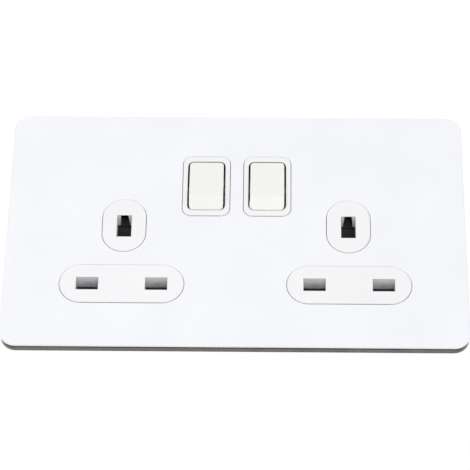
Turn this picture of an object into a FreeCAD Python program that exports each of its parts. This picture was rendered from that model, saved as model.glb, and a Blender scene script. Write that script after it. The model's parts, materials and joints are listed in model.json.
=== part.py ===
"""Two-gang switched 13 A socket outlet with a flat screwless cover, to be fixed to a wall.

The wall lies in the plane Y = 0 and the socket's face looks towards -Y. X runs to the right as seen
from the front and Z runs up. The origin is the middle of the cover's outline, on the wall.
Depths are counted along Y: what stands proud of the wall has a negative Y.
"""
import FreeCAD, Part
import math
import os

import Sketcher
from FreeCAD import Vector

document = FreeCAD.newDocument("twin_socket")

# Driving dimensions in millimetres and degrees
SIZES = {
    # cover and the frame that it clips on
    "plate_side": 14.4,
    "plate_height": 89.6,
    "plate_corner": 5.2,
    "plate_sheet": 0.8,
    "plate_edge_bevel": 0.2,
    "plate_gap": 0.2,
    "rim_depth": 3.1,
    "rim_inset": 0.2,
    "rim_wall": 2.6,
    "rim_step": 0.5,
    "rim_step_length": 1.0,
    "tab_width": 8.0,
    "tab_sheet": 0.8,
    "tab_length": 2.2,
    "tab_spacing": 90.0,
    "tab_clearance": 0.1,
    # frame that the wall screws hold
    "frame_web": 2.2,
    "frame_wall": 1.5,
    "frame_clearance": 0.1,
    "fixing_side": 5.7,
    "fixing_hole_radius": 2.1,
    "fixing_pad": 8.0,
    "insert_clearance": 0.15,
    # outlets
    "island_proud": 0.2,
    "outlet_spacing": 73.15,
    "line_height": -21.7,
    "earth_rise": 22.23,
    "pin_half_spacing": 11.115,
    "flat_slot_width": 7.18,
    "flat_slot_height": 4.71,
    "earth_slot_width": 4.78,
    "earth_slot_height": 8.42,
    "earth_notch_front_width": 2.4,
    "earth_notch_back_width": 3.2,
    "earth_notch_height": 4.6,
    "earth_notch_start": 0.3,
    "earth_island_lift": 0.3,
    "earth_island_width": 14.12,
    "earth_island_height": 20.2,
    "flat_island_width": 40.02,
    "flat_island_height": 14.16,
    "slot_depth": 6.2,
    "well_half_width": 16.2,
    "well_below": 6.7,
    "well_above": 8.7,
    "stem_half_width": 10.0,
    "stem_above": 20.0,
    # shutters
    "shutter_gap": 0.3,
    "shutter_sheet": 2.0,
    "shutter_half_width": 15.0,
    "shutter_half_height": 3.3,
    "shutter_travel": 6.7,
    "shutter_arm_width": 3.0,
    "shutter_window": 3.2,
    "shutter_bar": 3.3,
    "shutter_ramp_lip": 1.0,
    "rail_lip": 1.2,
    "rail_lip_thickness": 0.8,
    "shutter_peg_radius": 0.9,
    "shutter_peg_length": 2.0,
    "return_spring_radius": 1.5,
    "return_spring_wire": 0.2,
    "return_spring_turns": 4,
    "spring_stop_thickness": 1.5,
    # switches: the base and the pivot lie behind the islands' face, the rocker's own forms about its pivot
    "switch_spacing": 20.06,
    "switch_height": 16.6,
    "ring_width": 15.46,
    "ring_height": 23.5,
    "ring_corner": 2.9,
    "switch_base_width": 37.2,
    "switch_base_height": 26.2,
    "switch_base_depth": 8.0,
    "rocker_pivot_depth": 3.5,
    "rocker_radius": 10.03,
    "rocker_half_width": 5.6,
    "rocker_corner": 1.2,
    "rocker_gap": 0.3,
    "rocker_side_gap": 0.6,
    "rocker_swing": 7.0,
    "rocker_face_depth": 4.62,
    "rocker_face_top": 8.9,
    "rocker_ridge_depth": 5.05,
    "rocker_ridge_low": 6.06,
    "rocker_nose_depth": 2.32,
    "rocker_nose_low": 9.76,
    "rocker_skirt": 3.0,
    "rocker_wall": 1.35,
    "rocker_hollow_low": 6.68,
    "rocker_hollow_high": 7.68,
    "rocker_pin_radius": 1.3,
    "rocker_pin_length": 1.6,
    "rocker_pin_clearance": 0.06,
    "tube_half": 2.6,
    "tube_reach": 8.2,
    "tube_end_wall": 1.3,
    "plunger_radius": 1.65,
    "plunger_clearance": 0.1,
    "plunger_reach": 11.75,
    "plunger_length": 8.75,
    "plunger_tip_radius": 0.6,
    "plunger_nose": 1.4,
    "plunger_travel": 1.0,
    "rocker_spring_radius": 1.25,
    "rocker_spring_wire": 0.2,
    "rocker_spring_turns": 4,
    "rocker_spring_gap": 0.1,
    # brass work, with its depths counted from the islands' face
    "strip_depth": 18.6,
    "strip_sheet": 0.8,
    "strip_width": 6.0,
    "narrow_strip": 4.4,
    "leaf_sheet": 0.7,
    "leaf_base": 1.9,
    "leaf_waist": 1.7,
    "leaf_lip": 2.9,
    "leaf_waist_depth": 13.1,
    "leaf_lip_depth": 10.1,
    "contact_tilt": 6.0,
    "contact_pivot_depth": 16.15,
    "contact_half_length": 7.2,
    "contact_width": 5.0,
    "contact_arm": 6.0,
    "contact_rib_radius": 0.9,
    "contact_rib_clearance": 0.05,
    "rivet_radius": 1.6,
    "rivet_height": 0.8,
    "cradle_depth": 16.6,
    "cradle_height": 3.0,
    "neutral_bus_drop": 6.2,
    "neutral_bus_width": 3.0,
    "line_bus_height": 10.8,
    "line_bus_side": 20.2,
    "earth_strap_depth": 24.8,
    "earth_leaf_waist_depth": 18.1,
    "earth_leaf_lip_depth": 15.2,
    # terminals
    "terminal_width": 8.0,
    "terminal_height": 9.0,
    "terminal_depth": 7.8,
    "terminal_top_gap": 3.4,
    "terminal_bore_radius": 2.3,
    "terminal_bore_depth": 3.2,
    "terminal_screw_radius": 1.75,
    "terminal_screw_length": 2.5,
    "terminal_screw_gap": 0.1,
    "screw_slot_width": 0.8,
    "screw_slot_depth": 0.9,
    "terminal_clearance": 0.2,
    "wire_entry_width": 6.6,
    # rear housing, its depth counted from the islands' face, and the screws that hold it
    "rear_side": 6.91,
    "rear_top": 4.3,
    "rear_depth": 27.6,
    "rear_wall": 1.6,
    "rear_floor": 2.0,
    "rear_corner": 3.0,
    "rear_access": 2.4,
    "post_size": 4.4,
    "housing_boss_gap": 0.3,
    "housing_boss_size": 6.4,
    "housing_boss_split": 6.0,
    "housing_screw_radius": 1.4,
    "housing_screw_clearance": 0.2,
    "housing_screw_head_radius": 2.5,
    "housing_screw_head": 1.8,
    "housing_screw_length": 11.0,
    "housing_screw_seat": 14.0,
    "housing_screw_spare": 0.5,
    "snap_width": 12.0,
    "snap_sheet": 1.4,
    "snap_hook": 1.0,
    "snap_hook_depth": 3.0,
    "snap_end_depth": 5.6,
    "snap_gap": 0.15,
}

sheet = document.addObject("Spreadsheet::Sheet", "Sizes")
for row, (name, number) in enumerate(SIZES.items(), 1):
    sheet.set(f"A{row}", name)
    sheet.set(f"B{row}", str(number))
    sheet.setAlias(f"B{row}", name)
document.recompute()


class Size:
    """A length that holds its number and the expression that ties it to the sheet."""

    def __init__(self, number, text):
        self.number = number
        self.text = text

    def __add__(self, other):
        other = as_size(other)
        return Size(self.number + other.number, f"({self.text} + {other.text})")

    def __sub__(self, other):
        other = as_size(other)
        return Size(self.number - other.number, f"({self.text} - {other.text})")

    def __mul__(self, other):
        other = as_size(other)
        return Size(self.number * other.number, f"({self.text} * {other.text})")

    def __truediv__(self, other):
        other = as_size(other)
        return Size(self.number / other.number, f"({self.text} / {other.text})")

    def __neg__(self):
        return Size(-self.number, f"(0 - {self.text})")

    def __radd__(self, other):
        return as_size(other) + self

    def __rsub__(self, other):
        return as_size(other) - self

    __rmul__ = __mul__


def as_size(value):
    """A plain number as a Size, or the Size itself."""
    if isinstance(value, Size):
        return value
    return Size(float(value), f"({float(value)})")


class SheetSizes:
    """The sheet's named cells as attributes."""

    def __getattr__(self, name):
        return Size(float(sheet.get(name)), f"Sizes.{name}")


S = SheetSizes()

# Outlines: each function gives one that draws itself, fully bound, in a sketch
START, END, CENTRE = 1, 2, 3
SKETCH_ORIGIN = -1


def bind(sketch, kind, arguments, value):
    """Add a dimension to a sketch and tie it to its expression."""
    index = sketch.addConstraint(Sketcher.Constraint(kind, *arguments, value.number))
    sketch.setExpression(f"Constraints[{index}]", value.text)


def pin_point(sketch, curve, point, across=None, up=None):
    """Hold one point of a curve at its distances from the sketch's origin."""
    if across is not None:
        bind(sketch, "DistanceX", (SKETCH_ORIGIN, 1, curve, point), across)
    if up is not None:
        bind(sketch, "DistanceY", (SKETCH_ORIGIN, 1, curve, point), up)


def add_arc(sketch, across, up, radius, first, last):
    """Draw an arc between two multiples of 90 degrees, counted anticlockwise from the right."""
    circle = Part.Circle(Vector(across.number, up.number, 0), Vector(0, 0, 1), radius.number)
    arc = Part.ArcOfCircle(circle, math.radians(first), math.radians(last))
    curve = sketch.addGeometry(arc, False)
    pin_point(sketch, curve, CENTRE, across, up)
    right, top = round(math.cos(math.radians(first))), round(math.sin(math.radians(first)))
    pin_point(sketch, curve, START, across + radius * right, up + radius * top)
    if last % 180 == 90:
        pin_point(sketch, curve, END, across=across)
    else:
        pin_point(sketch, curve, END, up=up)
    return curve


def add_line(sketch, start, end):
    """Draw a straight line between two points."""
    return sketch.addGeometry(Part.LineSegment(start, end), False)


def close_loop(sketch, curves):
    """Hold the end of each curve on the start of the next one, all the way round."""
    for here, after in zip(curves, curves[1:] + curves[:1]):
        sketch.addConstraint(Sketcher.Constraint("Coincident", here, END, after, START))


def join_arcs(sketch, arcs):
    """Join the end of each arc to the start of the next one with a line."""
    curves = []
    for here, after in zip(arcs, arcs[1:] + arcs[:1]):
        line = add_line(sketch, sketch.getPoint(here, END), sketch.getPoint(after, START))
        curves += [here, line]
    close_loop(sketch, curves)


def polygon(*corners):
    """A closed outline through the given corners."""

    def draw(sketch):
        curves = []
        corner_sizes = [(as_size(across), as_size(up)) for across, up in corners]
        for start, end in zip(corner_sizes, corner_sizes[1:] + corner_sizes[:1]):
            first = Vector(start[0].number, start[1].number, 0)
            last = Vector(end[0].number, end[1].number, 0)
            curve = add_line(sketch, first, last)
            pin_point(sketch, curve, START, *start)
            curves.append(curve)
        close_loop(sketch, curves)

    return draw


def rectangle(left, right, bottom, top):
    """A rectangle between four sides."""
    return polygon((left, bottom), (right, bottom), (right, top), (left, top))


def centred_rectangle(across, up, width, height):
    """A rectangle about its middle."""
    right, top = width / 2, height / 2
    return rectangle(across - right, across + right, up - top, up + top)


def rounded_rectangle(across, up, width, height, radius):
    """A rectangle about its middle with round corners."""

    def draw(sketch):
        right, top = width / 2 - radius, height / 2 - radius
        corners = ((1, 1, 0), (-1, 1, 90), (-1, -1, 180), (1, -1, 270))
        arcs = []
        for side, rise, first in corners:
            place = (as_size(across) + right * side, as_size(up) + top * rise)
            arcs.append(add_arc(sketch, *place, radius, first, first + 90))
        join_arcs(sketch, arcs)

    return draw


def stadium(across, up, width, height):
    """An outline with two half-round ends, upright or lying."""

    def draw(sketch):
        x, z = as_size(across), as_size(up)
        if width.number > height.number:
            radius, reach = height / 2, (width - height) / 2
            arcs = [add_arc(sketch, x + reach, z, radius, -90, 90)]
            arcs.append(add_arc(sketch, x - reach, z, radius, 90, 270))
        else:
            radius, reach = width / 2, (height - width) / 2
            arcs = [add_arc(sketch, x, z + reach, radius, 0, 180)]
            arcs.append(add_arc(sketch, x, z - reach, radius, 180, 360))
        join_arcs(sketch, arcs)

    return draw


def circle(across, up, radius):
    """A circle about its middle."""

    def draw(sketch):
        x, z = as_size(across), as_size(up)
        middle = Vector(x.number, z.number, 0)
        curve = sketch.addGeometry(Part.Circle(middle, Vector(0, 0, 1), radius.number), False)
        pin_point(sketch, curve, CENTRE, x, z)
        bind(sketch, "Radius", (curve,), radius)

    return draw


class Piece:
    """One body, built up from outlines that are drawn across one of the three axes.

    An outline across Y is drawn in X and Z, one across X in Y and Z, and one across Z in X and Y.
    """

    planes = {"X": "YZ_Plane", "Y": "XZ_Plane", "Z": "XY_Plane"}

    def __init__(self, label, x=None, y=None, z=None):
        self.body = document.addObject("PartDesign::Body", label)
        self.body.Label = label
        for axis, place in (("x", x), ("y", y), ("z", z)):
            if place is not None:
                self.body.setExpression(f"Placement.Base.{axis}", as_size(place).text)
        pieces[label] = self.body

    def sketch(self, axis, offset, outlines, lift=None):
        """Draw outlines on one of the body's planes, moved along the plane's own normal."""
        sketch = self.body.newObject("Sketcher::SketchObject", f"{self.body.Label}_outline")
        planes = [one for one in self.body.Origin.OriginFeatures if one.Role == self.planes[axis]]
        sketch.AttachmentSupport = [(planes[0], "")]
        sketch.MapMode = "FlatFace"
        sketch.setExpression("AttachmentOffset.Base.z", as_size(offset).text)
        if lift is not None:
            sketch.setExpression("AttachmentOffset.Base.y", as_size(lift).text)
        for draw in outlines:
            draw(sketch)
        return sketch

    def prism(self, kind, axis, start, end, outlines):
        """Run outlines from one depth to another along an axis."""
        offset = -as_size(end) if axis == "Y" else as_size(start)
        feature = self.body.newObject(kind, f"{self.body.Label}_{kind[12:].lower()}")
        feature.Profile = self.sketch(axis, offset, outlines)
        feature.setExpression("Length", (as_size(end) - start).text)
        return feature

    def add(self, axis, start, end, *outlines):
        self.prism("PartDesign::Pad", axis, start, end, outlines)

    def cut(self, axis, start, end, *outlines):
        self.prism("PartDesign::Pocket", axis, start, end, outlines).Reversed = True

    def turn(self, kind, axis_name, outline, offset=0, lift=None):
        """Turn an outline, drawn in X and Y, once around the sketch's own axis."""
        feature = self.body.newObject(kind, f"{self.body.Label}_{kind[12:].lower()}")
        sketch = self.sketch("Z", offset, [outline], lift)
        feature.Profile = sketch
        feature.ReferenceAxis = (sketch, [axis_name])
        feature.Angle = 360
        return feature

    def tilt(self, angle):
        """Turn the whole body about the X axis through its own origin."""
        self.body.Placement = FreeCAD.Placement(Vector(), FreeCAD.Rotation(Vector(1, 0, 0), 1))
        self.body.setExpression("Placement.Rotation.Angle", as_size(angle).text)

    def bevel(self, size, wanted):
        """Break each edge for which wanted(edge) holds."""
        document.recompute()
        tip = self.body.Tip
        names = [f"Edge{n}" for n, edge in enumerate(tip.Shape.Edges, 1) if wanted(edge)]
        feature = self.body.newObject("PartDesign::Chamfer", f"{self.body.Label}_bevel")
        feature.Base = (tip, names)
        feature.setExpression("Size", size.text)


pieces = {}

# How far a form reaches into the one that it joins, and how far a cut runs out past its piece
JOIN = 0.2
PAST = 1

# Short straight runs that ease each corner of a turned outline, and that make up each turn of a spring
CORNER_STEPS = 3
TURN_STEPS = 6

# The spring wire's section, as shares of its radius
WIRE_CORNERS = ((1, 0), (0, 1), (-1, 0), (0, -1), (1, 0))

# Depths that several pieces share
web_front = -S.rim_depth
web_back = web_front + S.frame_web
cover_front = web_front - S.plate_sheet
face = cover_front - S.island_proud
slot_end = face + S.slot_depth
switch_base_back = face + S.switch_base_depth
contact_pivot = face + S.contact_pivot_depth
cradle_front = face + S.cradle_depth
strip_front = face + S.strip_depth
strip_back = strip_front + S.strip_sheet
earth_strap_front = face + S.earth_strap_depth
rear_back = face + S.rear_depth
floor_front = rear_back - S.rear_floor
shutter_front = slot_end + S.shutter_gap
shutter_back = shutter_front + S.shutter_sheet
rail_back = shutter_back + S.shutter_gap

# Widths that follow from where the outermost pins stand
rear_half_width = S.outlet_spacing / 2 + S.pin_half_spacing + S.rear_side
fixing_x = rear_half_width + S.fixing_side
plate_width = (fixing_x + S.plate_side) * 2

# Heights that follow from where the switches stand
rear_half_height = S.switch_height + S.switch_base_height / 2 + S.rear_top
rear_inside_top = rear_half_height - S.rear_wall
terminal_top = rear_inside_top - S.terminal_top_gap
terminal_base = terminal_top - S.terminal_height
housing_screw_height = rear_inside_top - S.housing_boss_gap - S.housing_boss_size / 2

# Places that several pieces share
SIDES = {"left": -1, "right": 1}
earth_height = S.line_height + S.earth_rise
rim_width = plate_width - S.rim_inset * 2
rim_height = S.plate_height - S.rim_inset * 2
tab_outside = rim_height / 2 - S.rim_wall + S.tab_sheet
pivot_depth = face + S.rocker_pivot_depth
rest_tilt = -S.rocker_swing
fixed_contact_height = S.switch_height + S.contact_arm


def outlet_x(side):
    return S.outlet_spacing / 2 * SIDES[side]


def switch_x(side):
    return S.switch_spacing / 2 * SIDES[side]


# As seen from the front, each outlet has neutral on its left and line on its right
neutral_x = {side: outlet_x(side) - S.pin_half_spacing for side in SIDES}
line_x = {side: outlet_x(side) + S.pin_half_spacing for side in SIDES}

# Line, neutral and earth terminals stand in one row near the top of the housing
terminals = {
    "neutral": (neutral_x["left"], strip_back),
    "line": (as_size(0), strip_back),
    "earth_left": (outlet_x("left"), earth_strap_front - S.terminal_depth),
    "earth_right": (outlet_x("right"), earth_strap_front - S.terminal_depth),
}


def islands(gap):
    """The six raised outlines that stand in the cover's openings, made wider by a gap all round."""
    outlines = []
    for side in SIDES:
        outlines.append(earth_island(outlet_x(side), gap))
        outlines.append(flat_island(outlet_x(side), gap))
        outlines.append(ring(switch_x(side), gap))
    return outlines


def earth_island(x, gap):
    up = earth_height + S.earth_island_lift
    return stadium(x, up, S.earth_island_width + gap * 2, S.earth_island_height + gap * 2)


def flat_island(x, gap):
    return stadium(x, S.line_height, S.flat_island_width + gap * 2, S.flat_island_height + gap * 2)


def ring(x, gap):
    width, height = S.ring_width + gap * 2, S.ring_height + gap * 2
    return rounded_rectangle(x, S.switch_height, width, height, S.ring_corner + gap)


def make_cover_plate():
    """Painted steel cover with six openings and four tabs that clip into the frame's notches."""
    piece = Piece("cover_plate")
    outline = rounded_rectangle(0, 0, plate_width, S.plate_height, S.plate_corner)
    piece.add("Y", cover_front, web_front, outline)
    front = cover_front.number
    piece.bevel(S.plate_edge_bevel, lambda edge: abs(edge.BoundBox.YMax - front) < 0.01)
    piece.cut("Y", cover_front - PAST, web_front + PAST, *islands(S.plate_gap))
    tab_inside = tab_outside - S.tab_sheet
    for x in (-S.tab_spacing / 2, S.tab_spacing / 2):
        left, right = x - S.tab_width / 2, x + S.tab_width / 2
        for bottom, top in ((tab_inside, tab_outside), (-tab_outside, -tab_inside)):
            tab = rectangle(left, right, bottom, top)
            piece.add("Y", web_front - JOIN, web_front + S.tab_length, tab)


def make_clip_frame():
    """Clear smoky rim between the cover and the wall, stepped in under the cover for a shadow line."""
    piece = Piece("clip_frame")
    step_back = web_front + S.rim_step_length
    piece.add("Y", web_front, step_back, rim_outline(S.rim_step), rim_outline(S.rim_wall))
    piece.add("Y", step_back, 0, rim_outline(as_size(0)), rim_outline(S.rim_wall))
    for x in (-S.tab_spacing / 2, S.tab_spacing / 2):
        reach = S.tab_width / 2 + S.tab_clearance
        for side in (-1, 1):
            outer = (tab_outside + S.tab_clearance) * side
            inner = (rim_height / 2 - S.rim_wall - PAST) * side
            notch = rectangle(x - reach, x + reach, inner, outer)
            piece.cut("Y", web_front - PAST, PAST, notch)


def rim_outline(inwards):
    """The rim's outline, or one that runs a distance inside it."""
    width, height = rim_width - inwards * 2, rim_height - inwards * 2
    return rounded_rectangle(0, 0, width, height, S.plate_corner - S.rim_inset - inwards)


def outlet_well(x, gap):
    """Outline of one outlet's body behind the cover: a wide foot with a narrower stem above."""
    wide, narrow = S.well_half_width + gap, S.stem_half_width + gap
    bottom = S.line_height - S.well_below - gap
    shoulder = S.line_height + S.well_above + gap
    top = S.stem_above + gap
    return polygon(
        (x - wide, bottom), (x + wide, bottom), (x + wide, shoulder), (x + narrow, shoulder),
        (x + narrow, top), (x - narrow, top), (x - narrow, shoulder), (x - wide, shoulder),
    )


def make_mounting_frame():
    """Moulded frame that the wall screws hold and that carries the outlets and switches."""
    piece = Piece("mounting_frame")
    width = rim_width - S.rim_wall * 2 - S.frame_clearance * 2
    height = rim_height - S.rim_wall * 2 - S.frame_clearance * 2
    corner = S.plate_corner - S.rim_inset - S.rim_wall - S.frame_clearance
    piece.add("Y", web_front, web_back, rounded_rectangle(0, 0, width, height, corner))
    inner_width, inner_height = width - S.frame_wall * 2, height - S.frame_wall * 2
    inner = centred_rectangle(0, 0, inner_width, inner_height)
    piece.add("Y", web_back - JOIN, 0, rounded_rectangle(0, 0, width, height, corner), inner)
    for x in (-fixing_x, fixing_x):
        pad = centred_rectangle(x, 0, S.fixing_pad, S.fixing_pad)
        piece.add("Y", web_back - JOIN, 0, pad)
    for x, up in housing_screw_places():
        piece.add("Y", web_back - JOIN, S.housing_boss_split, housing_boss(x, up))
    inside = S.rear_wall - rear_half_height + S.snap_gap
    hook, end = S.snap_hook_depth, S.snap_end_depth
    snap = polygon(
        (web_back - JOIN, inside), (hook, inside), (hook, inside - S.snap_hook), (end, inside),
        (end, inside + S.snap_sheet), (web_back - JOIN, inside + S.snap_sheet),
    )
    for x in (outlet_x("left"), outlet_x("right")):
        piece.add("X", x - S.snap_width / 2, x + S.snap_width / 2, snap)
    gap = S.insert_clearance
    wells = [outlet_well(outlet_x(side), gap) for side in SIDES]
    piece.cut("Y", web_front - PAST, web_back + PAST, *wells, switch_base(gap))
    for x in (-fixing_x, fixing_x):
        piece.cut("Y", web_front - PAST, PAST, circle(x, 0, S.fixing_hole_radius))
    thread_end = S.housing_screw_seat - S.housing_screw_length - S.housing_screw_spare
    for x, up in housing_screw_places():
        hole = circle(x, up, S.housing_screw_radius)
        piece.cut("Y", thread_end, S.housing_boss_split + PAST, hole)


def housing_screw_places():
    """Middles of the two screws that hold the rear housing, between switches and earth terminals."""
    switch_edge = S.switch_base_width / 2 + S.insert_clearance
    terminal_edge = outlet_x("right") - S.terminal_width / 2
    side = (switch_edge + terminal_edge) / 2
    return [(-side, housing_screw_height), (side, housing_screw_height)]


def housing_boss(x, up):
    return centred_rectangle(x, up, S.housing_boss_size, S.housing_boss_size)


def make_outlet(side):
    """Moulded outlet: two raised islands, three pin slots and the shutter's guide rails."""
    x = outlet_x(side)
    piece = Piece(f"outlet_{side}")
    piece.add("Y", web_front, slot_end, outlet_well(x, as_size(0)))
    piece.add("Y", face, web_front, flat_island(x, as_size(0)), earth_island(x, as_size(0)))
    rail_inside = S.shutter_half_width + S.shutter_gap
    rail_bottom = S.line_height - S.well_below
    rail_top = S.line_height + S.well_above
    for hand in (-1, 1):
        wall = rectangle(x + rail_inside * hand, x + S.well_half_width * hand, rail_bottom, rail_top)
        piece.add("Y", slot_end - JOIN, rail_back + S.rail_lip_thickness, wall)
        lip_inside = rail_inside - S.rail_lip
        lip = rectangle(x + lip_inside * hand, x + S.well_half_width * hand, rail_bottom, rail_top)
        piece.add("Y", rail_back, rail_back + S.rail_lip_thickness, lip)
    stop_side = S.return_spring_radius * 2
    stop = rectangle(x - stop_side, x + stop_side, S.stem_above - S.spring_stop_thickness, S.stem_above)
    piece.add("Y", slot_end - JOIN, return_spring_depth() + stop_side, stop)
    for pin_x in (neutral_x[side], line_x[side]):
        half, up = S.flat_slot_width / 2, S.flat_slot_height / 2
        slot = rectangle(pin_x - half, pin_x + half, S.line_height - up, S.line_height + up)
        piece.cut("Y", face - PAST, slot_end + PAST, slot)
    half, up = S.earth_slot_width / 2, S.earth_slot_height / 2
    slot = rectangle(x - half, x + half, earth_height - up, earth_height + up)
    piece.cut("Y", face - PAST, slot_end + PAST, slot)
    front, back = face + S.earth_notch_start, slot_end
    near, far = S.earth_notch_front_width / 2, S.earth_notch_back_width / 2
    notch = polygon(
        (x - near, front), (x + near, front), (x + far, back), (x + far, back + PAST),
        (x - far, back + PAST), (x - far, back),
    )
    piece.cut("Z", earth_height, earth_height + up + S.earth_notch_height, notch)


def return_spring_depth():
    """Depth of the shutter spring's axis."""
    return shutter_front + S.return_spring_radius * 2


def make_shutter(side):
    """Sliding shutter: a blade that closes both flat slots and a ramp that the earth pin lifts."""
    piece = Piece(f"shutter_{side}", x=outlet_x(side))
    line = S.line_height
    bottom, shoulder = line - S.shutter_half_height, line + S.shutter_half_height
    arm = S.shutter_window + S.shutter_arm_width
    slot_top = earth_height + S.earth_slot_height / 2
    top = slot_top + S.shutter_bar
    wide = S.shutter_half_width
    outside = polygon(
        (-wide, bottom), (wide, bottom), (wide, shoulder), (arm, shoulder),
        (arm, top), (-arm, top), (-arm, shoulder), (-wide, shoulder),
    )
    window_bottom = earth_height - S.earth_slot_height / 2 - S.shutter_travel - S.shutter_gap
    window = rectangle(-S.shutter_window, S.shutter_window, window_bottom, slot_top)
    piece.add("Y", shutter_front, shutter_back, outside, window)
    ramp_front = shutter_front + S.shutter_ramp_lip
    ramp_back = ramp_front + S.shutter_travel
    ramp = polygon(
        (shutter_front, slot_top), (ramp_front, slot_top), (ramp_back, slot_top - S.shutter_travel),
        (ramp_back, top), (shutter_front, top),
    )
    piece.add("X", -S.shutter_window, S.shutter_window, ramp)
    peg = circle(0, return_spring_depth(), S.shutter_peg_radius)
    piece.add("Z", top - JOIN, top + S.shutter_peg_length, peg)


def switch_base(gap):
    """Outline of the switch housing behind the cover."""
    width, height = S.switch_base_width + gap * 2, S.switch_base_height + gap * 2
    return centred_rectangle(0, S.switch_height, width, height)


def make_switch_housing():
    """Moulding with both rocker wells, turned about their pivot line in front of it and straight behind."""
    piece = Piece("switch_housing")
    piece.add("Y", web_front, switch_base_back, switch_base(as_size(0)))
    piece.add("Y", face, web_front, *[ring(switch_x(side), as_size(0)) for side in SIDES])
    well_half = S.rocker_half_width + S.rocker_side_gap
    well_radius = S.rocker_radius + S.rocker_gap
    slot_half = S.rocker_pin_radius + S.rocker_pin_clearance
    slot_reach = S.rocker_half_width + S.rocker_pin_length + S.rocker_gap
    for side in SIDES:
        x = switch_x(side)
        well = turned_half(x, well_half, well_radius, S.rocker_corner + S.rocker_side_gap)
        piece.turn("PartDesign::Groove", "H_Axis", well, offset=S.switch_height, lift=pivot_depth)
        behind = centred_rectangle(x, S.switch_height, well_half * 2, well_radius * 2)
        piece.cut("Y", pivot_depth, switch_base_back + PAST, behind)
        slot = keyhole(pivot_depth, S.switch_height, slot_half, switch_base_back + PAST)
        piece.cut("X", x - slot_reach, x + slot_reach, slot)


def turned_half(x, half_width, radius, corner):
    """The upper half of a rectangle with eased corners, to be turned about its lower side."""
    left, right, centre = x - half_width, x + half_width, radius - corner
    zero = as_size(0)
    eased = []
    for step in range(CORNER_STEPS + 1):
        angle = math.radians(90 * step / CORNER_STEPS)
        eased.append((corner * (1 - math.cos(angle)), centre + corner * math.sin(angle)))
    rising = [(left + inwards, up) for inwards, up in eased]
    falling = [(right - inwards, up) for inwards, up in reversed(eased)]
    return polygon((left, zero), *rising, *falling, (right, zero))


def keyhole(across, up, half, open_end):
    """A half-round seat that runs out to an open end on its right."""

    def draw(sketch):
        arc = add_arc(sketch, across, up, half, 90, 270)
        low, high = up - half, up + half
        corners = [(across, low), (open_end, low), (open_end, high), (across, high)]
        points = [Vector(corner[0].number, corner[1].number, 0) for corner in corners]
        lines = [add_line(sketch, here, after) for here, after in zip(points, points[1:])]
        pin_point(sketch, lines[1], START, *corners[1])
        pin_point(sketch, lines[1], END, *corners[2])
        close_loop(sketch, [arc, *lines])

    return draw


def make_rocker(side):
    """Rocker drawn about its own pivot with its plunger tube straight back, then tipped to off."""
    piece = Piece(f"rocker_{side}", x=switch_x(side), y=pivot_depth, z=S.switch_height)
    zero = as_size(0)
    profile = turned_half(zero, S.rocker_half_width, S.rocker_radius, S.rocker_corner)
    piece.turn("PartDesign::Revolution", "H_Axis", profile)
    far = S.rocker_radius * 2
    face_slope = (S.rocker_ridge_depth - S.rocker_face_depth) / (S.rocker_ridge_low + S.rocker_face_top)
    nose_slope = (S.rocker_ridge_depth - S.rocker_nose_depth) / (S.rocker_nose_low - S.rocker_ridge_low)
    top_depth = S.rocker_face_depth - face_slope * (far - S.rocker_face_top)
    nose_depth = S.rocker_nose_depth - nose_slope * (far - S.rocker_nose_low)
    wide = S.rocker_half_width + PAST
    front = polygon(
        (-far, far), (-far, -far), (-nose_depth, -far),
        (-S.rocker_ridge_depth, -S.rocker_ridge_low), (-top_depth, far),
    )
    piece.cut("X", -wide, wide, front)
    piece.cut("X", -wide, wide, rectangle(S.rocker_skirt, far, -far, far))
    hollow_half = S.rocker_half_width - S.rocker_wall
    ceiling = S.rocker_wall - S.rocker_face_depth
    low, high = -S.rocker_hollow_low, S.rocker_hollow_high
    hollow = rectangle(ceiling, S.rocker_skirt + PAST, low, high)
    piece.cut("X", -hollow_half, hollow_half, hollow)
    tube = centred_rectangle(0, 0, S.tube_half * 2, S.tube_half * 2)
    piece.add("Y", ceiling - JOIN, S.tube_reach, tube)
    bore = S.plunger_radius + S.plunger_clearance
    piece.cut("Y", tube_bottom(), S.tube_reach + PAST, circle(0, 0, bore))
    pin_start = S.rocker_half_width - JOIN
    pin_end = S.rocker_half_width + S.rocker_pin_length
    piece.add("X", pin_start, pin_end, circle(0, 0, S.rocker_pin_radius))
    piece.add("X", -pin_end, -pin_start, circle(0, 0, S.rocker_pin_radius))
    piece.tilt(rest_tilt)


def tube_bottom():
    """Depth of the plunger tube's closed end, counted from the pivot."""
    return S.rocker_wall - S.rocker_face_depth + S.tube_end_wall


def make_plunger(side):
    """Cone-nosed plunger that the rocker carries on its spring."""
    piece = Piece(f"plunger_{side}", x=switch_x(side), y=pivot_depth, z=S.switch_height)
    back = S.plunger_reach - S.plunger_length
    nose = S.plunger_reach - S.plunger_nose
    zero, radius, tip = as_size(0), S.plunger_radius, S.plunger_tip_radius
    outline = polygon(
        (zero, back), (radius, back), (radius, nose), (tip, S.plunger_reach), (zero, S.plunger_reach),
    )
    piece.turn("PartDesign::Revolution", "V_Axis", outline)
    piece.tilt(rest_tilt)


def coil(radius, wire, length, turns):
    """Wire wound up along Z from the origin in short straight runs."""
    steps = turns * TURN_STEPS
    points = []
    for step in range(steps + 1):
        angle = 2 * math.pi * step / TURN_STEPS
        rise = wire + (length - wire * 2) * step / steps
        points.append(Vector(radius * math.cos(angle), radius * math.sin(angle), rise))
    corners = [Vector(radius + wire * across, 0, wire + wire * up) for across, up in WIRE_CORNERS]
    section = Part.makePolygon(corners)
    return Part.makePolygon(points).makePipeShell([section], True, False, 1)


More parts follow.
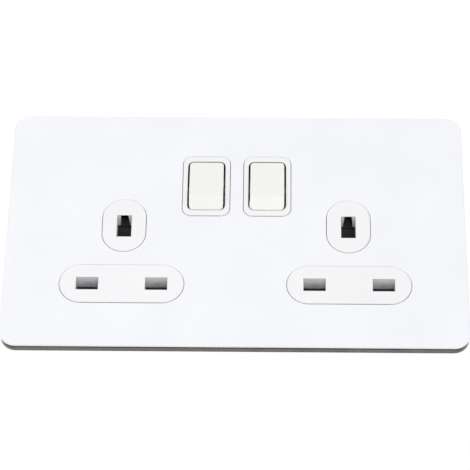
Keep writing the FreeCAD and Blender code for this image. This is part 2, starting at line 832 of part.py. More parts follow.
def make_return_spring(side):
    """Spring between the shutter and its stop, which pushes the shutter down again."""
    low = earth_height + S.earth_slot_height / 2 + S.shutter_bar
    high = S.stem_above - S.spring_stop_thickness
    turns = int(S.return_spring_turns.number)
    shape = coil(S.return_spring_radius.number, S.return_spring_wire.number, (high - low).number, turns)
    feature = document.addObject("Part::Feature", f"return_spring_{side}")
    feature.Label = f"return_spring_{side}"
    feature.Shape = shape
    feature.Placement.Base = Vector(outlet_x(side).number, return_spring_depth().number, low.number)
    pieces[feature.Label] = feature


def make_rocker_spring(side):
    """Spring in the rocker's tube behind its plunger, drawn at its shortest."""
    back = S.plunger_reach - S.plunger_length
    length = back - tube_bottom() - S.plunger_travel - S.rocker_spring_gap
    turns = int(S.rocker_spring_turns.number)
    shape = coil(S.rocker_spring_radius.number, S.rocker_spring_wire.number, length.number, turns)
    shape.Placement = FreeCAD.Placement(Vector(0, back.number, 0), FreeCAD.Rotation(Vector(1, 0, 0), 90))
    feature = document.addObject("Part::Feature", f"rocker_spring_{side}")
    feature.Label = f"rocker_spring_{side}"
    turned = shape.copy()
    turned.rotate(Vector(), Vector(1, 0, 0), rest_tilt.number)
    feature.Shape = turned
    place = Vector(switch_x(side).number, pivot_depth.number, S.switch_height.number)
    feature.Placement = FreeCAD.Placement(place, FreeCAD.Rotation()).multiply(feature.Placement)
    pieces[feature.Label] = feature


def make_moving_contact(side):
    """Brass see-saw that rocks on a rib under its middle, with a contact rivet at its upper end."""
    piece = Piece(f"moving_contact_{side}", x=switch_x(side), y=contact_pivot, z=S.switch_height)
    half, reach = S.contact_width / 2, S.contact_half_length
    piece.add("X", -half, half, rectangle(-S.strip_sheet, 0, -reach, reach))
    piece.add("X", -half, half, circle(0, 0, S.contact_rib_radius))
    front = rectangle(-S.contact_rib_radius - PAST, -S.strip_sheet, -reach, reach)
    piece.cut("X", -half - PAST, half + PAST, front)
    piece.add("Y", -JOIN, S.rivet_height, circle(0, S.contact_arm, S.rivet_radius))
    piece.tilt(S.contact_tilt)


def leaves(piece, axis, place, along, start, waist_depth, lip_depth):
    """A pair of springy leaves that grips one pin, drawn across an axis."""
    half = S.strip_width / 2
    for side in (-1, 1):
        near = [(start, S.leaf_base), (waist_depth, S.leaf_waist), (lip_depth, S.leaf_lip)]
        far = [(depth, reach + S.leaf_sheet) for depth, reach in reversed(near)]
        corners = [(depth, place + reach * side) for depth, reach in near + far]
        if axis == "Z":
            corners = [(reach, depth) for depth, reach in corners]
        piece.add(axis, along - half, along + half, polygon(*corners))


def flat_pin_clip(piece, x):
    """The clip for one flat pin, folded up from the strip behind it."""
    start = strip_front + JOIN
    waist, lip = face + S.leaf_waist_depth, face + S.leaf_lip_depth
    leaves(piece, "X", S.line_height, x, start, waist, lip)


def strip(piece, left, right, bottom, top):
    """A straight length of the brass sheet that lies at the strips' depth."""
    piece.add("Y", strip_front, strip_back, rectangle(left, right, bottom, top))


def make_neutral_strip():
    """One strip that holds both neutral clips and reaches up to the neutral terminal."""
    piece = Piece("neutral_strip")
    half = S.strip_width / 2
    bus_top = S.line_height - S.neutral_bus_drop + S.neutral_bus_width / 2
    bus_bottom = bus_top - S.neutral_bus_width
    strip(piece, neutral_x["left"] - half, neutral_x["left"] + half, bus_bottom, terminal_top)
    strip(piece, neutral_x["left"] - half, neutral_x["right"] + half, bus_bottom, bus_top)
    strip(piece, neutral_x["right"] - half, neutral_x["right"] + half, bus_bottom, S.line_height + half)
    for side in SIDES:
        flat_pin_clip(piece, neutral_x[side])


def make_line_contact(side):
    """Strip from an outlet's line clip to the fixed contact behind its switch."""
    piece = Piece(f"line_contact_{side}")
    half, narrow = S.strip_width / 2, S.narrow_strip / 2
    end = switch_x(side)
    upper = (fixed_contact_height - narrow, fixed_contact_height + narrow)
    clip = line_x[side]
    if side == "left":
        strip(piece, clip - half, clip + half, S.line_height - half, upper[1])
        strip(piece, clip - half, end + narrow, *upper)
    else:
        lower = (S.line_bus_height - narrow, S.line_bus_height + narrow)
        strip(piece, clip - half, clip + half, S.line_height - half, lower[1])
        strip(piece, S.line_bus_side - narrow, clip + half, *lower)
        strip(piece, S.line_bus_side - narrow, S.line_bus_side + narrow, lower[0], upper[1])
        strip(piece, end - narrow, S.line_bus_side + narrow, *upper)
    flat_pin_clip(piece, clip)
    rivet = circle(end, fixed_contact_height, S.rivet_radius)
    piece.add("Y", strip_front - S.rivet_height, strip_front + JOIN, rivet)


def make_line_feed():
    """Strip from the line terminal to the two cradles that the moving contacts rock in."""
    piece = Piece("line_feed")
    half, narrow = S.contact_width / 2, S.narrow_strip / 2
    low, high = S.switch_height - S.cradle_height / 2, S.switch_height + S.cradle_height / 2
    strip(piece, switch_x("left") - half, switch_x("right") + half, low, high)
    strip(piece, -narrow, narrow, low, terminal_top)
    for side in SIDES:
        x = switch_x(side)
        piece.add("X", x - half, x + half, rectangle(cradle_front, strip_back, low, high))
        seat_radius = S.contact_rib_radius + S.contact_rib_clearance
        seat = circle(contact_pivot, S.switch_height, seat_radius)
        piece.cut("X", x - half - PAST, x + half + PAST, seat)


def make_earth_strap():
    """Strap on the housing's floor with both earth clips and a riser to each earth terminal."""
    piece = Piece("earth_strap")
    half = S.strip_width / 2
    front, back = earth_strap_front, earth_strap_front + S.strip_sheet
    left, right = outlet_x("left") - half, outlet_x("right") + half
    piece.add("Y", front, back, rectangle(left, right, earth_height - half, earth_height + half))
    for side in SIDES:
        x = outlet_x(side)
        piece.add("Y", front, back, rectangle(x - half, x + half, earth_height, terminal_top))
        waist, lip = face + S.earth_leaf_waist_depth, face + S.earth_leaf_lip_depth
        leaves(piece, "Z", x, earth_height, front + JOIN, waist, lip)
        hole_radius = S.terminal_screw_radius + S.terminal_clearance
        hole = circle(x, terminal_base + S.terminal_height / 2, hole_radius)
        piece.cut("Y", front - PAST, back + PAST, hole)


def make_terminal(name):
    """Brass block with a bore for the conductors and a threaded hole for its screw."""
    x, front = terminals[name]
    piece = Piece(f"terminal_{name}", x=x, y=front, z=terminal_base)
    half = S.terminal_width / 2
    piece.add("Y", 0, S.terminal_depth, rectangle(-half, half, 0, S.terminal_height))
    bore = circle(0, S.terminal_bore_depth, S.terminal_bore_radius)
    piece.cut("Z", -PAST, S.terminal_height + PAST, bore)
    thread = circle(0, S.terminal_height / 2, S.terminal_screw_radius)
    piece.cut("Y", S.terminal_bore_depth, S.terminal_depth + PAST, thread)


def group(label, members):
    """Identical fasteners as one group of separate solids."""
    compound = document.addObject("Part::Compound", label)
    compound.Label = label
    compound.Links = members
    pieces[label] = compound


def slotted_screw(label, x, y, z, outline, end, head_radius):
    """A screw turned about its own axis, with a straight slot across its rear end."""
    piece = Piece(label, x=x, y=y, z=z)
    piece.turn("PartDesign::Revolution", "V_Axis", polygon(*outline))
    half, reach = S.screw_slot_width / 2, head_radius + PAST
    piece.cut("Y", end - S.screw_slot_depth, end + PAST, rectangle(-reach, reach, -half, half))
    del pieces[label]
    return piece.body


def make_terminal_screws():
    """Four slotted screws in the terminals, as supplied: backed out clear of the bores."""
    screws = []
    zero, radius, length = as_size(0), S.terminal_screw_radius, S.terminal_screw_length
    outline = ((zero, zero), (radius, zero), (radius, length), (zero, length))
    for name, (x, front) in terminals.items():
        tip = front + S.terminal_bore_depth + S.terminal_bore_radius + S.terminal_screw_gap
        height = terminal_base + S.terminal_height / 2
        screws.append(slotted_screw(f"screw_{name}", x, tip, height, outline, length, radius))
    group("terminal_screws", screws)


def make_housing_screws():
    """Two screws from the back that join the rear housing to the mounting frame."""
    screws = []
    zero, radius, length = as_size(0), S.housing_screw_radius, S.housing_screw_length
    head, top = S.housing_screw_head_radius, S.housing_screw_length + S.housing_screw_head
    outline = ((zero, zero), (radius, zero), (radius, length), (head, length), (head, top), (zero, top))
    for number, (x, height) in enumerate(housing_screw_places(), 1):
        tip = S.housing_screw_seat - length
        screws.append(slotted_screw(f"housing_screw_{number}", x, tip, height, outline, top, head))
    group("housing_screws", screws)


def make_rear_housing():
    """Deep moulded back: a tray with posts under the brass work, windows and screw bosses."""
    piece = Piece("rear_housing")
    width, height = rear_half_width * 2, rear_half_height * 2
    piece.add("Y", web_back, rear_back, rounded_rectangle(0, 0, width, height, S.rear_corner))
    inner_width, inner_height = width - S.rear_wall * 2, height - S.rear_wall * 2
    hollow = centred_rectangle(0, 0, inner_width, inner_height)
    piece.cut("Y", web_back - PAST, floor_front, hollow)
    post = S.post_size / 2
    floor_inside = floor_front + JOIN
    for x in (*neutral_x.values(), *line_x.values()):
        foot = rectangle(x - post, x + post, S.line_height - post, S.line_height + post)
        piece.add("Y", strip_back, floor_inside, foot)
    cradle_foot = S.switch_height - S.cradle_height / 2
    for side in SIDES:
        x = switch_x(side)
        foot = rectangle(x - post, x + post, cradle_foot, fixed_contact_height + post)
        piece.add("Y", strip_back, floor_inside, foot)
    for x, up in housing_screw_places():
        piece.add("Y", S.housing_boss_split, floor_inside, housing_boss(x, up))
    shank = S.housing_screw_radius + S.housing_screw_clearance
    head = S.housing_screw_head_radius + S.housing_screw_clearance
    for x, up in housing_screw_places():
        piece.cut("Y", S.housing_boss_split - PAST, S.housing_screw_seat + PAST, circle(x, up, shank))
        piece.cut("Y", S.housing_screw_seat, rear_back + PAST, circle(x, up, head))
    reach, low = S.snap_width / 2 + S.snap_gap, -rear_half_height
    for x in (outlet_x("left"), outlet_x("right")):
        window = rectangle(x - reach, x + reach, S.snap_hook_depth - S.snap_gap, S.snap_end_depth)
        piece.cut("Z", low - PAST, low + S.rear_wall + PAST, window)
    entry = S.wire_entry_width / 2
    gap = S.terminal_clearance
    for name, (x, front) in terminals.items():
        bore_depth = front + S.terminal_bore_depth
        opening = rectangle(x - entry, x + entry, bore_depth - entry, bore_depth + entry)
        piece.cut("Z", rear_half_height - S.rear_wall - PAST, rear_half_height + PAST, opening)
        if name.startswith("earth"):
            reach = S.rear_access * 2
            screw = centred_rectangle(x, terminal_base + S.terminal_height / 2, reach, reach)
            piece.cut("Y", floor_front - PAST, rear_back + PAST, screw)
        else:
            side = S.terminal_width / 2 + gap
            window = rectangle(x - side, x + side, terminal_base - gap, terminal_top + gap)
            piece.cut("Y", floor_front - PAST, rear_back + PAST, window)


make_cover_plate()
make_clip_frame()
make_mounting_frame()
make_switch_housing()
make_neutral_strip()
make_line_feed()
make_earth_strap()
for outlet in SIDES:
    make_outlet(outlet)
    make_shutter(outlet)
    make_return_spring(outlet)
    make_rocker(outlet)
    make_plunger(outlet)
    make_rocker_spring(outlet)
    make_moving_contact(outlet)
    make_line_contact(outlet)
for terminal in terminals:
    make_terminal(terminal)
make_terminal_screws()
make_housing_screws()
make_rear_housing()
document.recompute()


def check_document():
    """Stop if an object failed, a shape is unsound or a cut took nothing away."""
    for item in document.Objects:
        if "Invalid" in item.State or "Error" in item.State:
            raise RuntimeError(f"{item.Label} failed")
        if item.TypeId in ("PartDesign::Pocket", "PartDesign::Groove"):
            if item.Shape.Volume > item.BaseFeature.Shape.Volume - 0.001:
                raise RuntimeError(f"{item.Label} cuts nothing")
    for label, item in pieces.items():
        if item.Shape.isNull() or not item.Shape.isValid() or not item.Shape.Solids:
            raise RuntimeError(f"{label} has no sound solid")


check_document()
os.makedirs("parts", exist_ok=True)
for label, item in pieces.items():
    item.Shape.exportStep(f"parts/{label}.step")
    print(label, len(item.Shape.Solids), round(item.Shape.Volume, 2))
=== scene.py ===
"""White twin wall socket outlet: finishes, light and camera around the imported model.

Everything is in metres in the model's own frame: the wall is the plane Y = 0, the face looks
towards -Y, and Z is up.
"""
import json
import math

import bpy
from mathutils import Matrix, Vector


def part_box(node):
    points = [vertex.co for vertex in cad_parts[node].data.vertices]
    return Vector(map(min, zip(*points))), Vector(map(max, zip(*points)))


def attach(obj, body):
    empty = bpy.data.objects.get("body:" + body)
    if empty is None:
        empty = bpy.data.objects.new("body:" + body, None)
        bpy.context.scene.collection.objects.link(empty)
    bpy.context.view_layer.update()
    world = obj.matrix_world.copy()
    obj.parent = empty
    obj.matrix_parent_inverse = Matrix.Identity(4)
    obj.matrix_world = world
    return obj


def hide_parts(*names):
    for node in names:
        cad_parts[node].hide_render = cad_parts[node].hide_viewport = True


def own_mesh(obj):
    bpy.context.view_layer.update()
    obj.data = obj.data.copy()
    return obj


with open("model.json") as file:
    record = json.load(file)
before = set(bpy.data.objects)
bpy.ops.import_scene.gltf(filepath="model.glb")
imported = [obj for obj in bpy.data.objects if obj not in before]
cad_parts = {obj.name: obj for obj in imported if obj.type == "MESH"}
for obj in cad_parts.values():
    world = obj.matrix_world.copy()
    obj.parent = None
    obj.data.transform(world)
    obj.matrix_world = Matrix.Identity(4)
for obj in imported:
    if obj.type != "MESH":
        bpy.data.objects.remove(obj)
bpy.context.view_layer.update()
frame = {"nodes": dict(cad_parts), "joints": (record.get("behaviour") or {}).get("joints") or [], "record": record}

# The photograph's camera, worked out from the outlet's own edges
IMAGE_WIDTH = 470
FOCAL_PIXELS = 2346.64
SENSOR_WIDTH = 36.0
CAMERA_PLACE = Vector((0.01104, -0.64114, -0.42388))
CAMERA_AIM = Vector((-0.00035, -0.0041, -0.00283))
CAMERA_ROLL = math.radians(-0.94)
CAMERA_NEAREST = 0.01

WHITE = (1.0, 1.0, 1.0, 1.0)

# Strength of the even light all round
WORLD_LIGHT = 0.66

# Place and power in watts of each soft box: all are square, and all point at the origin
SOFT_BOX_SIZE = 1.2
SOFT_BOXES = {
    "key_soft_box": ((-0.55, -1.45, 0.35), 5.7),
    "low_soft_box": ((0.4, -1.22, -0.78), 5.8),
    "rear_soft_box": ((0.6, 1.4, 0.7), 6.0),
}

# Floor and wall: the wall stands a hair behind the clip frame, and is open inside its outline
FLOOR_HEIGHT = -1.15
FLOOR_REACH = 6.0
WALL_DEPTH = 0.0001
WALL_REACH = 0.45
WALL_OVERLAP = 0.0002
WALL_OPENING_CORNER = 0.0048
CORNER_STEPS = 8

# The springs of each shutter and rocker: radius of the wire, turns that stand open, closed turns
# at the two ends together, points in a turn, and fineness of the wire's round section
SPRING_WIRE = 0.0002
SPRING_TURNS = 5
CLOSED_TURNS = 2
TURN_POINTS = 24
WIRE_FINENESS = 2

# Fine rounding along each node's edges: its width and its steps, how near two points are one, and
# the angles between faces up to which a face is flat, and from which an edge is sharp
EDGE_ROUNDS = {
    "outlet_left": 0.00012,
    "outlet_right": 0.00012,
    "switch_housing": 0.00015,
    "rocker_left": 0.0002,
    "rocker_right": 0.0002,
    "rear_housing": 0.0002,
    "clip_frame": 0.00012,
    "cover_plate": 0.00008,
}
ROUND_STEPS = 2
WELD_REACH = 0.000001
FLAT_ANGLE = math.radians(1)
SHARP_ANGLE = math.radians(40)

# The part of a noise's range over which a colour drifts, and over which a gloss drifts
TONE_RANGE = (0.35, 0.65)
GLOSS_RANGE = (0.3, 0.7)

# Number of probes that tell how closed in a point is, for the shade painted into crevices
PAINTED_SHADE_PROBES = 8

# How much of the light sinks into the white mouldings, and how deep it goes in red, green and blue
SOFT_SHARE = 0.08
SOFT_DEPTHS = (0.0008, 0.0007, 0.0006)


def linear(red, green, blue):
    """A colour seen on a screen, in steps of 0 to 255, as the shader's linear colour."""
    channels = []
    for step in (red, green, blue):
        value = step / 255
        channels.append(value / 12.92 if value <= 0.04045 else ((value + 0.055) / 1.055) ** 2.4)
    return (*channels, 1.0)


class Finish:
    """One material, built up from a Principled shader and noise in the model's own metres."""

    def __init__(self, name):
        self.name = name
        self.material = bpy.data.materials.new(name)
        self.material.use_nodes = True
        self.nodes = self.material.node_tree.nodes
        self.links = self.material.node_tree.links
        self.shader = self.nodes["Principled BSDF"]
        self.place = self.nodes.new("ShaderNodeTexCoord")

    def set(self, **values):
        """Set the shader's own sockets, named with underscores for spaces."""
        for name, value in values.items():
            self.shader.inputs[name.replace("_", " ")].default_value = value
        return self

    def noise(self, size, detail=3.0, stretch=(1.0, 1.0, 1.0)):
        """Noise whose largest features are about size across."""
        mapping = self.nodes.new("ShaderNodeMapping")
        mapping.inputs["Scale"].default_value = stretch
        texture = self.nodes.new("ShaderNodeTexNoise")
        texture.inputs["Scale"].default_value = 1.0 / size
        texture.inputs["Detail"].default_value = detail
        self.links.new(self.place.outputs["Object"], mapping.inputs["Vector"])
        self.links.new(mapping.outputs["Vector"], texture.inputs["Vector"])
        return texture.outputs["Fac"]

    def spread(self, value, before, after):
        """A value carried over from one range to another, and held at that range's ends."""
        spread = self.nodes.new("ShaderNodeMapRange")
        spread.inputs["From Min"].default_value, spread.inputs["From Max"].default_value = before
        spread.inputs["To Min"].default_value, spread.inputs["To Max"].default_value = after
        self.links.new(value, spread.inputs["Value"])
        return spread.outputs["Result"]

    def tones(self, factor, *two_tones):
        """Colour that drifts between two close tones."""
        ramp = self.nodes.new("ShaderNodeValToRGB")
        for element, position, tone in zip(ramp.color_ramp.elements, TONE_RANGE, two_tones):
            element.position = position
            element.color = tone
        self.links.new(factor, ramp.inputs["Fac"])
        self.links.new(ramp.outputs["Color"], self.shader.inputs["Base Color"])
        return self

    def gloss(self, factor, smoothest, roughest):
        """Roughness that drifts between two values."""
        roughness = self.spread(factor, GLOSS_RANGE, (smoothest, roughest))
        self.links.new(roughness, self.shader.inputs["Roughness"])
        return self

    def paint_crevice_shade(self, reach, open_share, shade):
        """Paint shade into the base colour: darken it down to the share called shade, where little is open within
        reach.

        Where more than open_share of the sky is clear, the colour stays.
        """
        closeness = self.nodes.new("ShaderNodeAmbientOcclusion")
        closeness.samples = PAINTED_SHADE_PROBES
        closeness.inputs["Distance"].default_value = reach
        share = self.spread(closeness.outputs["AO"], (0.0, open_share), (shade, 1.0))
        shaded_base = self.nodes.new("ShaderNodeVectorMath")
        shaded_base.operation = "SCALE"
        base = self.shader.inputs["Base Color"].links[0].from_socket
        self.links.new(base, shaded_base.inputs[0])
        self.links.new(share, shaded_base.inputs["Scale"])
        self.links.new(shaded_base.outputs["Vector"], self.shader.inputs["Base Color"])
        return self

    def bump(self, factor, height, strength):
        """Relief of the given height."""
        bump = self.nodes.new("ShaderNodeBump")
        bump.inputs["Strength"].default_value = strength
        bump.inputs["Distance"].default_value = height
        self.links.new(factor, bump.inputs["Height"])
        self.links.new(bump.outputs["Normal"], self.shader.inputs["Normal"])
        return self


def cover_paint():
    """Satin white powder paint with a faint orange peel."""
    finish = Finish("cover_paint")
    finish.set(Specular_IOR_Level=0.4, Coat_Weight=0.15, Coat_Roughness=0.25)
    finish.tones(finish.noise(size=0.02), linear(244, 245, 249), linear(247, 248, 251))
    finish.gloss(finish.noise(size=0.004), smoothest=0.34, roughest=0.42)
    return finish.bump(finish.noise(size=0.0012, detail=2.0), height=0.000012, strength=0.5)


def gloss_moulding(name, coat_roughness, tone_size, two_tones, smoothest, roughest):
    """Glossy moulded plastic, with shade painted into its base colour in narrow gaps and slots."""
    finish = Finish(name)
    finish.set(Specular_IOR_Level=0.5, Coat_Weight=0.2, Coat_Roughness=coat_roughness)
    finish.set(Subsurface_Weight=SOFT_SHARE, Subsurface_Radius=SOFT_DEPTHS, Subsurface_Scale=1.0)
    finish.tones(finish.noise(tone_size, detail=1.0), *two_tones)
    finish.gloss(finish.noise(size=0.006, detail=1.0), smoothest, roughest)
    # Painted shade: the base colour darkens where a gap or slot closes in, darkest deep inside
    finish.paint_crevice_shade(reach=0.006, open_share=0.25, shade=0.04)
    return finish.bump(finish.noise(size=0.0008, detail=2.0), height=0.000006, strength=0.4)


def white_moulding():
    """White of the outlets and the rocker surrounds."""
    two_tones = (linear(243, 243, 245), linear(245, 245, 246))
    return gloss_moulding("white_moulding", coat_roughness=0.12, tone_size=0.03,
                          two_tones=two_tones, smoothest=0.28, roughest=0.31)


def rocker_moulding():
    """Slightly warmer white of the rockers."""
    two_tones = (linear(245, 244, 240), linear(247, 246, 242))
    return gloss_moulding("rocker_moulding", coat_roughness=0.1, tone_size=0.02,
                          two_tones=two_tones, smoothest=0.26, roughest=0.29)


def clear_rim():
    """Clear smoky plastic of the clip frame."""
    finish = Finish("clear_rim").set(IOR=1.49, Transmission_Weight=0.35)
    finish.tones(finish.noise(size=0.008), linear(108, 102, 96), linear(128, 122, 115))
    finish.gloss(finish.noise(size=0.002), smoothest=0.12, roughest=0.22)
    # Painted shade: the rim's base colour darkens where it is closed in within 2 mm, as under the cover's edge
    finish.paint_crevice_shade(reach=0.002, open_share=0.7, shade=0.3)
    return finish.bump(finish.noise(size=0.0006, detail=2.0), height=0.000008, strength=0.5)


def matt_moulding(name, *two_tones):
    """Plain moulded plastic with a fine spark texture."""
    finish = Finish(name).set(Specular_IOR_Level=0.4)
    finish.tones(finish.noise(size=0.015), *two_tones)
    finish.gloss(finish.noise(size=0.002), smoothest=0.48, roughest=0.62)
    return finish.bump(finish.noise(size=0.00035, detail=4.0), height=0.00002, strength=0.6)


def shutter_plastic():
    """Dark matt moulding of the shutters, with shade painted into its base colour deep in the slots."""
    finish = matt_moulding("shutter_plastic", linear(56, 56, 58), linear(66, 66, 68))
    # Painted shade: the shutters' base colour darkens where they sit closed in within the slots
    return finish.paint_crevice_shade(reach=0.004, open_share=0.4, shade=0.1)


def brass():
    """Stamped brass with drawing marks along the strips and a dull oxide bloom."""
    finish = Finish("brass").set(Metallic=1.0)
    finish.tones(finish.noise(size=0.003), linear(196, 160, 92), linear(219, 187, 118))
    streaks = finish.noise(size=0.0012, stretch=(1.0, 1.0, 0.1))
    finish.gloss(streaks, smoothest=0.22, roughest=0.42)
    marks = finish.noise(size=0.0003, stretch=(1.0, 1.0, 0.06))
    return finish.bump(marks, height=0.00001, strength=0.5)


def plated_steel():
    """Zinc-plated steel with a slightly mottled, bluish sheen."""
    finish = Finish("plated_steel").set(Metallic=1.0)
    finish.tones(finish.noise(size=0.0015), linear(176, 178, 182), linear(205, 206, 208))
    finish.gloss(finish.noise(size=0.0008), smoothest=0.25, roughest=0.4)
    return finish.bump(finish.noise(size=0.0002), height=0.000008, strength=0.5)


def all_materials():
    """Each material slot of the record with its material."""
    finishes = [
        cover_paint(),
        white_moulding(),
        rocker_moulding(),
        clear_rim(),
        matt_moulding("frame_plastic", linear(222, 222, 218), linear(228, 228, 225)),
        matt_moulding("rear_moulding", linear(228, 228, 225), linear(231, 231, 228)),
        shutter_plastic(),
        matt_moulding("plunger_plastic", linear(214, 211, 200), linear(222, 219, 209)),
        brass(),
        plated_steel(),
    ]
    return {finish.name: finish.material for finish in finishes}


def round_edges(piece, width):
    """Join a node's faces at their edges, make each flat one whole, and round the sharp edges."""
    weld = piece.modifiers.new("joined_edges", "WELD")
    weld.merge_threshold = WELD_REACH
    whole = piece.modifiers.new("whole_faces", "DECIMATE")
    whole.decimate_type = "DISSOLVE"
    whole.angle_limit = FLAT_ANGLE
    bevel = piece.modifiers.new("edge_round", "BEVEL")
    bevel.width = width
    bevel.segments = ROUND_STEPS
    bevel.limit_method = "ANGLE"
    bevel.angle_limit = SHARP_ANGLE
    bevel.harden_normals = True


def dress_nodes(materials):
    """Give each node its finish and a fine rounding of its edges."""
    slots = {part["node"]: part["material_slot"] for part in frame["record"]["subparts"]}
    for node, piece in frame["nodes"].items():
        piece.data.materials.clear()
        piece.data.materials.append(materials[slots[node]])
        if node in EDGE_ROUNDS:
            round_edges(piece, EDGE_ROUNDS[node])


def show(name, shape):
    """Add an object with a mesh, camera or lamp to the scene."""
    thing = bpy.data.objects.new(name, shape)
    bpy.context.scene.collection.objects.link(thing)
    return thing


def spring_mesh(name, radius, length):
    """Round wire wound up along Z about the origin, with a closed turn at each end."""
    closed_rise = SPRING_WIRE * 2
    open_rise = (length - closed_rise * (CLOSED_TURNS + 1)) / SPRING_TURNS
    first_open = CLOSED_TURNS // 2 * TURN_POINTS
    last_open = first_open + SPRING_TURNS * TURN_POINTS
    height = -length / 2 + SPRING_WIRE
    points = []
    for step in range((SPRING_TURNS + CLOSED_TURNS) * TURN_POINTS + 1):
        turn = 2 * math.pi * step / TURN_POINTS
        points.append((radius * math.cos(turn), radius * math.sin(turn), height, 1.0))
        height += (open_rise if first_open <= step < last_open else closed_rise) / TURN_POINTS
    curve = bpy.data.curves.new(name, "CURVE")
    curve.dimensions = "3D"
    curve.bevel_depth = SPRING_WIRE
    curve.bevel_resolution = WIRE_FINENESS
    curve.use_fill_caps = True
    wire = curve.splines.new("POLY")
    wire.points.add(len(points) - 1)
    for point, place in zip(wire.points, points):
        point.co = place
    shape = bpy.data.objects.new(name, curve)
    mesh = bpy.data.meshes.new_from_object(shape)
    mesh.name = name
    bpy.data.objects.remove(shape)
    mesh.shade_smooth()
    return mesh


def add_spring(node, body, axis, steel):
    """Round-wire spring in the place of a node's plain one, wound along an axis across X."""
    low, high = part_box(node)
    size = high - low
    outside = size.x / 2
    along = max(abs(axis.y), abs(axis.z))
    across = math.sqrt(1 - along ** 2)
    length = (max(size.y, size.z) - outside * 2 * across) / along
    name = f"{node}_wire"
    spring = show(name, spring_mesh(name, outside - SPRING_WIRE, length))
    turn = Vector((0.0, 0.0, 1.0)).rotation_difference(axis).to_matrix().to_4x4()
    spring.matrix_world = Matrix.Translation((low + high) / 2) @ turn
    spring.data.materials.append(steel)
    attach(spring, body)
    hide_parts(node)
    return spring


def add_springs(steel):
    """Springs that stand in the socket by each shutter, and springs that ride their plunger."""
    joints = {joint["name"]: joint for joint in frame["joints"]}
    for side in ("left", "right"):
        node, joint = f"return_spring_{side}", f"shutter_{side}_slide"
        spring = add_spring(node, "socket", Vector((0.0, 0.0, 1.0)), steel)
        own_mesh(spring)
        axis = Vector(joints[f"plunger_{side}_slide"]["axis"]).normalized()
        add_spring(f"rocker_spring_{side}", f"plunger_{side}", axis, steel)


def add_camera():
    """The photograph's own view: from in front, from below and rolled by under a degree."""
    data = bpy.data.cameras.new("camera")
    data.sensor_width = SENSOR_WIDTH
    data.lens = SENSOR_WIDTH * FOCAL_PIXELS / IMAGE_WIDTH
    data.clip_start = CAMERA_NEAREST
    camera = show("camera", data)
    ahead = (CAMERA_AIM - CAMERA_PLACE).normalized()
    turn = ahead.to_track_quat("-Z", "Y").to_matrix().to_4x4()
    roll = Matrix.Rotation(-CAMERA_ROLL, 4, "Z")
    camera.matrix_world = Matrix.Translation(CAMERA_PLACE) @ turn @ roll
    bpy.context.scene.camera = camera


def add_lamp(name, place, power):
    """A square soft box that points at the origin."""
    data = bpy.data.lights.new(name, "AREA")
    data.shape = "SQUARE"
    data.size = SOFT_BOX_SIZE
    data.energy = power
    lamp = show(name, data)
    lamp.location = place
    lamp.rotation_euler = (-Vector(place)).to_track_quat("-Z", "Y").to_euler()


def seen_as_white(nodes, links, shader, white):
    """Mix a shader with plain white for what the camera, a reflection or clear plastic shows."""
    path = nodes.new("ShaderNodeLightPath")
    seen = path.outputs["Is Camera Ray"]
    for kind in ("Is Glossy Ray", "Is Transmission Ray"):
        either = nodes.new("ShaderNodeMath")
        either.operation = "MAXIMUM"
        links.new(seen, either.inputs[0])
        links.new(path.outputs[kind], either.inputs[1])
        seen = either.outputs[0]
    mix = nodes.new("ShaderNodeMixShader")
    links.new(seen, mix.inputs["Fac"])
    links.new(shader.outputs[0], mix.inputs[1])
    links.new(white.outputs[0], mix.inputs[2])
    return mix.outputs[0]


def add_world():
    """Even pale surroundings that show as plain white."""
    world = bpy.data.worlds.new("studio")
    bpy.context.scene.world = world
    world.use_nodes = True
    nodes, links = world.node_tree.nodes, world.node_tree.links
    nodes.clear()
    light, white = nodes.new("ShaderNodeBackground"), nodes.new("ShaderNodeBackground")
    light.inputs["Color"].default_value = WHITE
    light.inputs["Strength"].default_value = WORLD_LIGHT
    white.inputs["Color"].default_value = WHITE
    output = nodes.new("ShaderNodeOutputWorld")
    links.new(seen_as_white(nodes, links, light, white), output.inputs["Surface"])


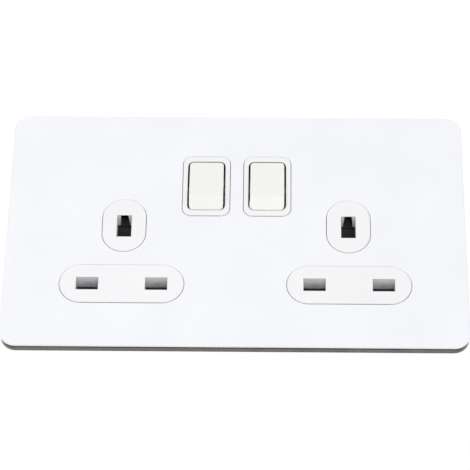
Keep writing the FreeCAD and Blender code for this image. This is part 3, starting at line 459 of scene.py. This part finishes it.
def rounded_loop(half_width, half_height, corner):
    """Points in the wall's plane round a rectangle with rounded corners."""
    points = []
    for quarter, (across, up) in enumerate(((1, 1), (-1, 1), (-1, -1), (1, -1))):
        for step in range(CORNER_STEPS + 1):
            turn = math.pi / 2 * (quarter + step / CORNER_STEPS)
            x = across * (half_width - corner) + corner * math.cos(turn)
            z = up * (half_height - corner) + corner * math.sin(turn)
            points.append((x, WALL_DEPTH, z))
    return points


def add_wall():
    """White wall that the cover lies against, open behind it so that the back shows too."""
    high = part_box("clip_frame")[1]
    half_width, half_height = high.x - WALL_OVERLAP, high.z - WALL_OVERLAP
    opening = rounded_loop(half_width, half_height, WALL_OPENING_CORNER)
    outside = rounded_loop(WALL_REACH, WALL_REACH, WALL_REACH / 2)
    count = len(opening)
    faces = []
    for here in range(count):
        after = (here + 1) % count
        faces.append((here, after, after + count, here + count))
    mesh = bpy.data.meshes.new("wall")
    mesh.from_pydata(opening + outside, [], faces)
    wall = show("wall", mesh)
    finish = Finish("wall_plaster").set(Roughness=0.9)
    finish.tones(finish.noise(size=0.05), linear(238, 238, 239), linear(242, 242, 242))
    finish.bump(finish.noise(size=0.002, detail=5.0), height=0.0001, strength=0.4)
    white = finish.nodes.new("ShaderNodeEmission")
    white.inputs["Color"].default_value = WHITE
    mixed = seen_as_white(finish.nodes, finish.links, finish.shader, white)
    finish.links.new(mixed, finish.nodes["Material Output"].inputs["Surface"])
    mesh.materials.append(finish.material)


def add_floor():
    """Pale floor far enough below that the low camera stays above it."""
    mesh = bpy.data.meshes.new("floor")
    sides = ((-1, -1), (1, -1), (1, 1), (-1, 1))
    corners = [(x * FLOOR_REACH, y * FLOOR_REACH, FLOOR_HEIGHT) for x, y in sides]
    mesh.from_pydata(corners, [], [(0, 1, 2, 3)])
    floor = show("floor", mesh)
    finish = Finish("floor_matt").set(Roughness=0.9)
    finish.tones(finish.noise(size=0.3), linear(236, 236, 237), linear(240, 240, 240))
    mesh.materials.append(finish.material)


all_finishes = all_materials()
dress_nodes(all_finishes)
add_springs(all_finishes["plated_steel"])
add_world()
add_floor()
add_wall()
for box_name, (box_place, box_power) in SOFT_BOXES.items():
    add_lamp(box_name, box_place, box_power)
add_camera()

view_settings = bpy.context.scene.view_settings
view_settings.view_transform = "Standard"
